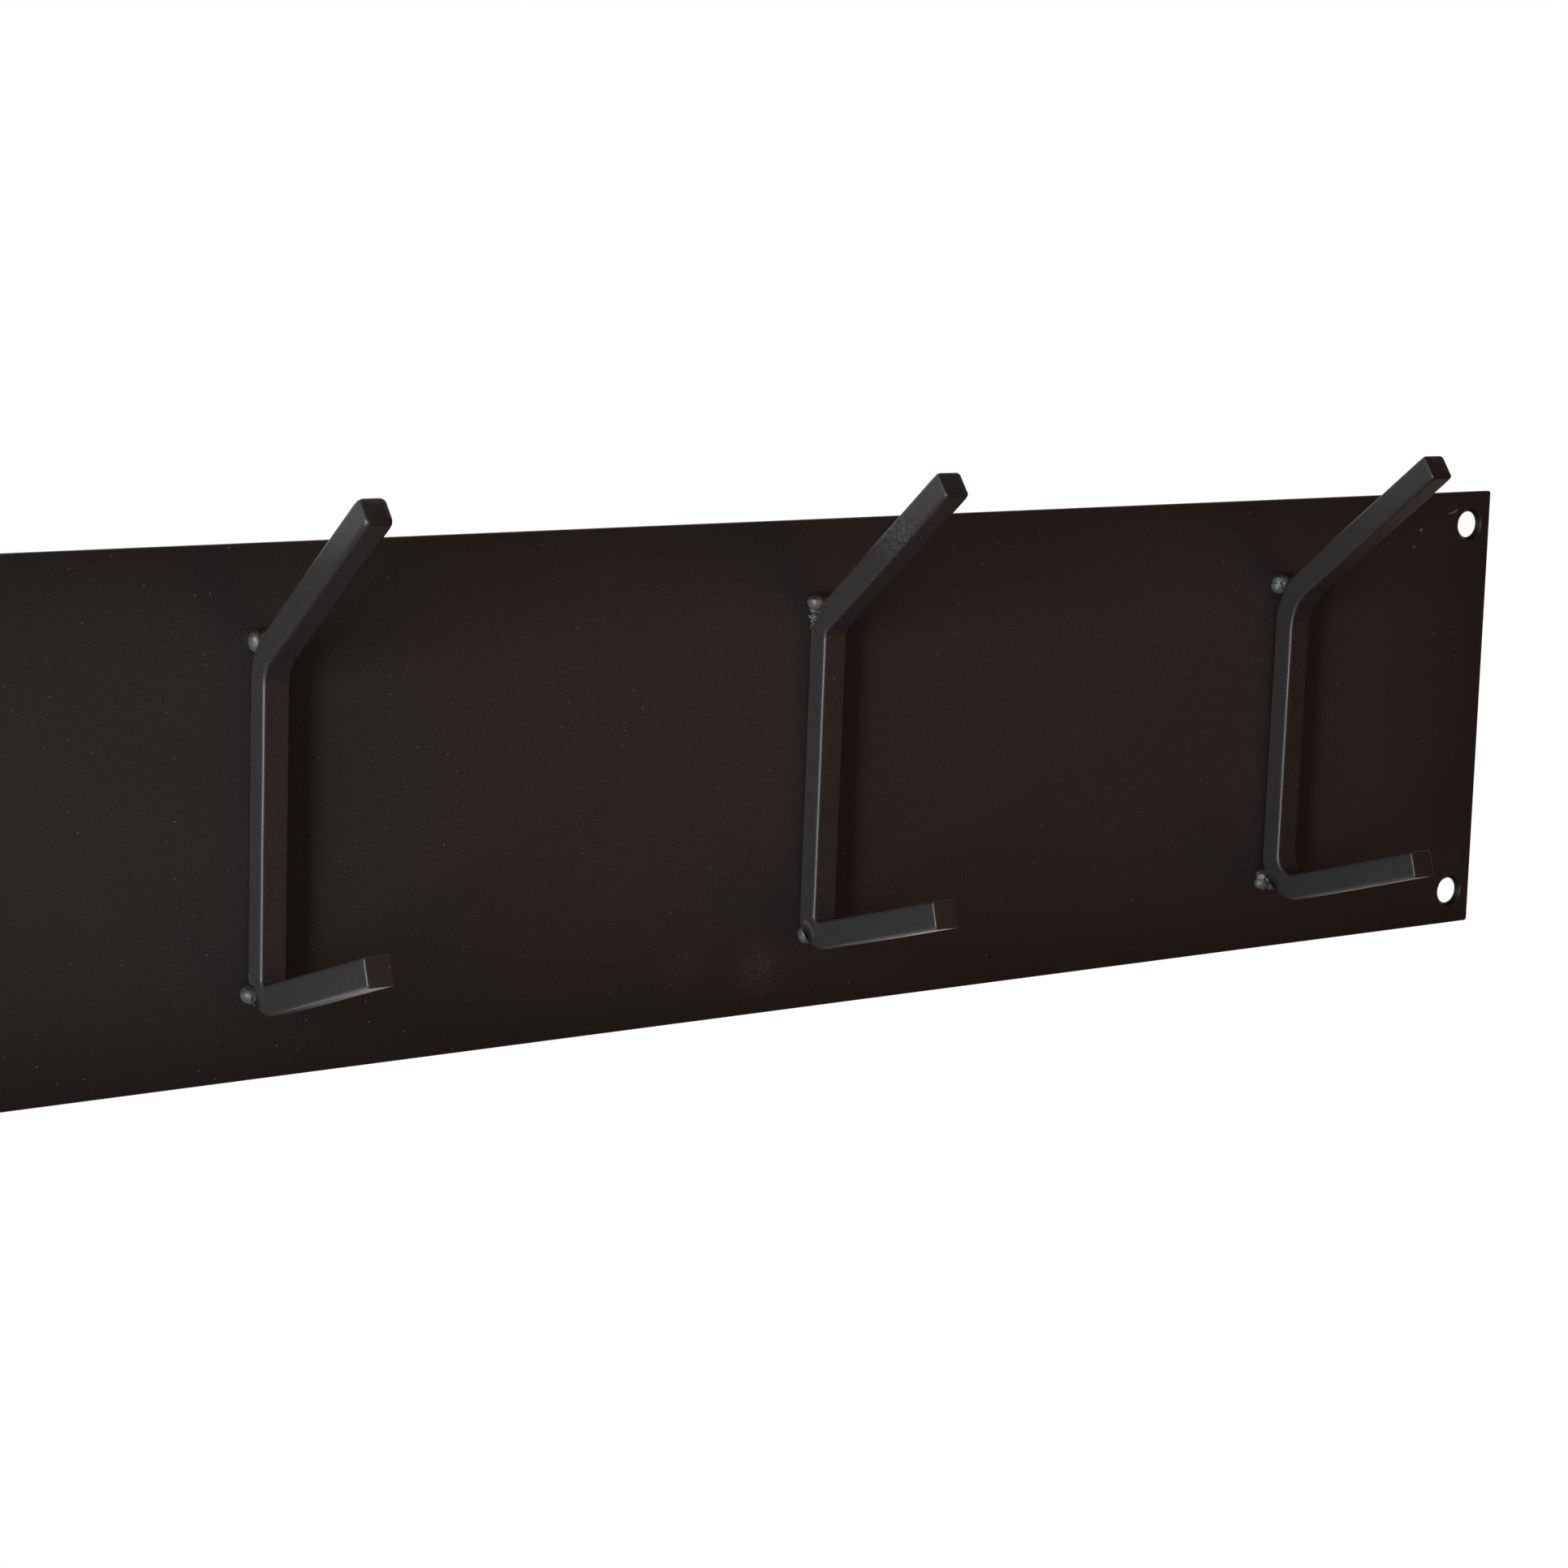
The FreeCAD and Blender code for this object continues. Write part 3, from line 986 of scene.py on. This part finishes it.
def make_spatter(plate_material, weld_material):
    """Bumps and drops on the plate, and crumbs and chips beside two of the bars."""
    bumps = [
        (Vector((x, plate_front / mm, z)) * mm, radius * mm, bump_flatness)
        for x, z, radius in plate_bumps
    ]
    pieces = [(make_crumbs("plate_spatter", bumps + strewn_drops()), plate_material)]
    for name, drops in (("hook_4_crumbs", hook_crumbs), ("hook_3_chips", hook_chips)):
        crumbs = [(Vector((x, y, z)) * mm, radius * mm, 1.0) for x, y, z, radius in drops]
        pieces.append((make_crumbs(name, crumbs), weld_material))
    for piece, material in pieces:
        dress(piece, material)
        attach(piece, "root")


def make_camera():
    """The photograph's view."""
    forward = Vector((
        math.sin(camera_yaw) * math.cos(camera_pitch),
        math.cos(camera_yaw) * math.cos(camera_pitch),
        math.sin(camera_pitch),
    ))
    level_right = Vector((math.cos(camera_yaw), -math.sin(camera_yaw), 0))
    level_up = level_right.cross(forward)
    right = level_right * math.cos(camera_roll) + level_up * math.sin(camera_roll)
    up = level_up * math.cos(camera_roll) - level_right * math.sin(camera_roll)
    turn = Matrix((right, up, -forward)).transposed().to_4x4()
    data = bpy.data.cameras.new("photo_camera")
    data.lens = focal_length
    data.sensor_width = sensor_width
    camera = link_object("photo_camera", data)
    camera.matrix_world = Matrix.Translation(camera_place) @ turn
    bpy.context.scene.camera = camera


def mixed_shader(nodes, links, share, first, second):
    """A mix of two shaders."""
    node = nodes.new("ShaderNodeMixShader")
    links.new(share, node.inputs["Fac"])
    links.new(first, node.inputs[1])
    links.new(second, node.inputs[2])
    return node.outputs["Shader"]


def seen_directly(nodes, links):
    """1 for rays from the camera, through glass and off a gloss, and 0 for soft light."""
    rays = nodes.new("ShaderNodeLightPath")
    total = rays.outputs["Is Camera Ray"]
    for name in ("Is Glossy Ray", "Is Transmission Ray"):
        total = computed(nodes, links, "MAXIMUM", total, rays.outputs[name])
    return total


def make_world():
    """White surroundings to look at, and a dimmer even light on the rack."""
    world = bpy.data.worlds.new("studio")
    bpy.context.scene.world = world
    world.use_nodes = True
    nodes, links = world.node_tree.nodes, world.node_tree.links
    soft = nodes["Background"]
    white = nodes.new("ShaderNodeBackground")
    for background, strength in ((soft, soft_light), (white, 1.0)):
        background.inputs["Color"].default_value = (1, 1, 1, 1)
        background.inputs["Strength"].default_value = strength
    surface = mixed_shader(
        nodes, links, seen_directly(nodes, links),
        soft.outputs["Background"], white.outputs["Background"])
    links.new(surface, nodes["World Output"].inputs["Surface"])


def make_floor():
    """A pale floor well below the rack, white from above and out of the way from below."""
    half, depth = floor_half, floor_depth
    corners = [
        (-half, -half, depth), (half, -half, depth), (half, half, depth), (-half, half, depth),
    ]
    floor = make_skin("floor", corners, [(0, 1, 2, 3)])
    material, nodes, links, shader = new_material("floor")
    shader.inputs["Base Color"].default_value = (*floor_colour, 1)
    white = nodes.new("ShaderNodeEmission").outputs["Emission"]
    clear = nodes.new("ShaderNodeBsdfTransparent").outputs["BSDF"]
    from_below = nodes.new("ShaderNodeNewGeometry").outputs["Backfacing"]
    seen = seen_directly(nodes, links)
    from_above = mixed_shader(nodes, links, seen, shader.outputs["BSDF"], white)
    surface = mixed_shader(nodes, links, from_below, from_above, clear)
    links.new(surface, nodes["Material Output"].inputs["Surface"])
    floor.data.materials.append(material)


def make_flag(name, corners, strength, colour):
    """A dim card that only reflections see, as a studio sets up to darken a glossy face."""
    card = make_skin(name, corners, [(0, 1, 2, 3)])
    material, nodes, links, shader = new_material(name)
    nodes.remove(shader)
    glow = nodes.new("ShaderNodeEmission")
    glow.inputs["Color"].default_value = (*colour, 1)
    glow.inputs["Strength"].default_value = strength
    links.new(glow.outputs["Emission"], nodes["Material Output"].inputs["Surface"])
    card.data.materials.append(material)
    card.visible_camera = False
    card.visible_diffuse = False
    card.visible_shadow = False
    card.visible_transmission = False


def make_lamp(name, place, target, width, height, watts, colour):
    """A soft box at a place, turned to a target."""
    data = bpy.data.lights.new(name, "AREA")
    data.shape = "RECTANGLE"
    data.size = width
    data.size_y = height
    data.energy = watts
    data.color = colour
    lamp = link_object(name, data)
    lamp.location = place
    way = Vector(target) - Vector(place)
    lamp.rotation_euler = way.to_track_quat("-Z", "Y").to_euler()
    lamp.visible_camera = False


random.seed(random_seed)
noise.seed_set(random_seed)
bpy.context.scene.view_settings.view_transform = "Standard"
plate_coat = powder_coat(
    "plate_coat", coat_dark, coat_light, plate_roughness, plate_specular, plate_specks,
    plate_marks)
hook_coat = powder_coat(
    "hook_coat", hook_dark, hook_light, hook_roughness, hook_specular, hook_specks, hook_marks)
weld_coat = powder_coat(
    "weld_coat", weld_dark, weld_light, weld_roughness, weld_specular, weld_specks, weld_marks)
dress(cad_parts["back_plate"], plate_coat)
make_hooks(hook_coat)
make_welds(weld_coat)
make_spatter(plate_coat, weld_coat)
make_camera()
make_world()
make_floor()
for name, corners, strength, colour in card_table:
    make_flag(name, corners, strength, colour)
for name, place, target, width, height, watts, colour in lamp_table:
    make_lamp(name, place, target, width, height, watts, colour)
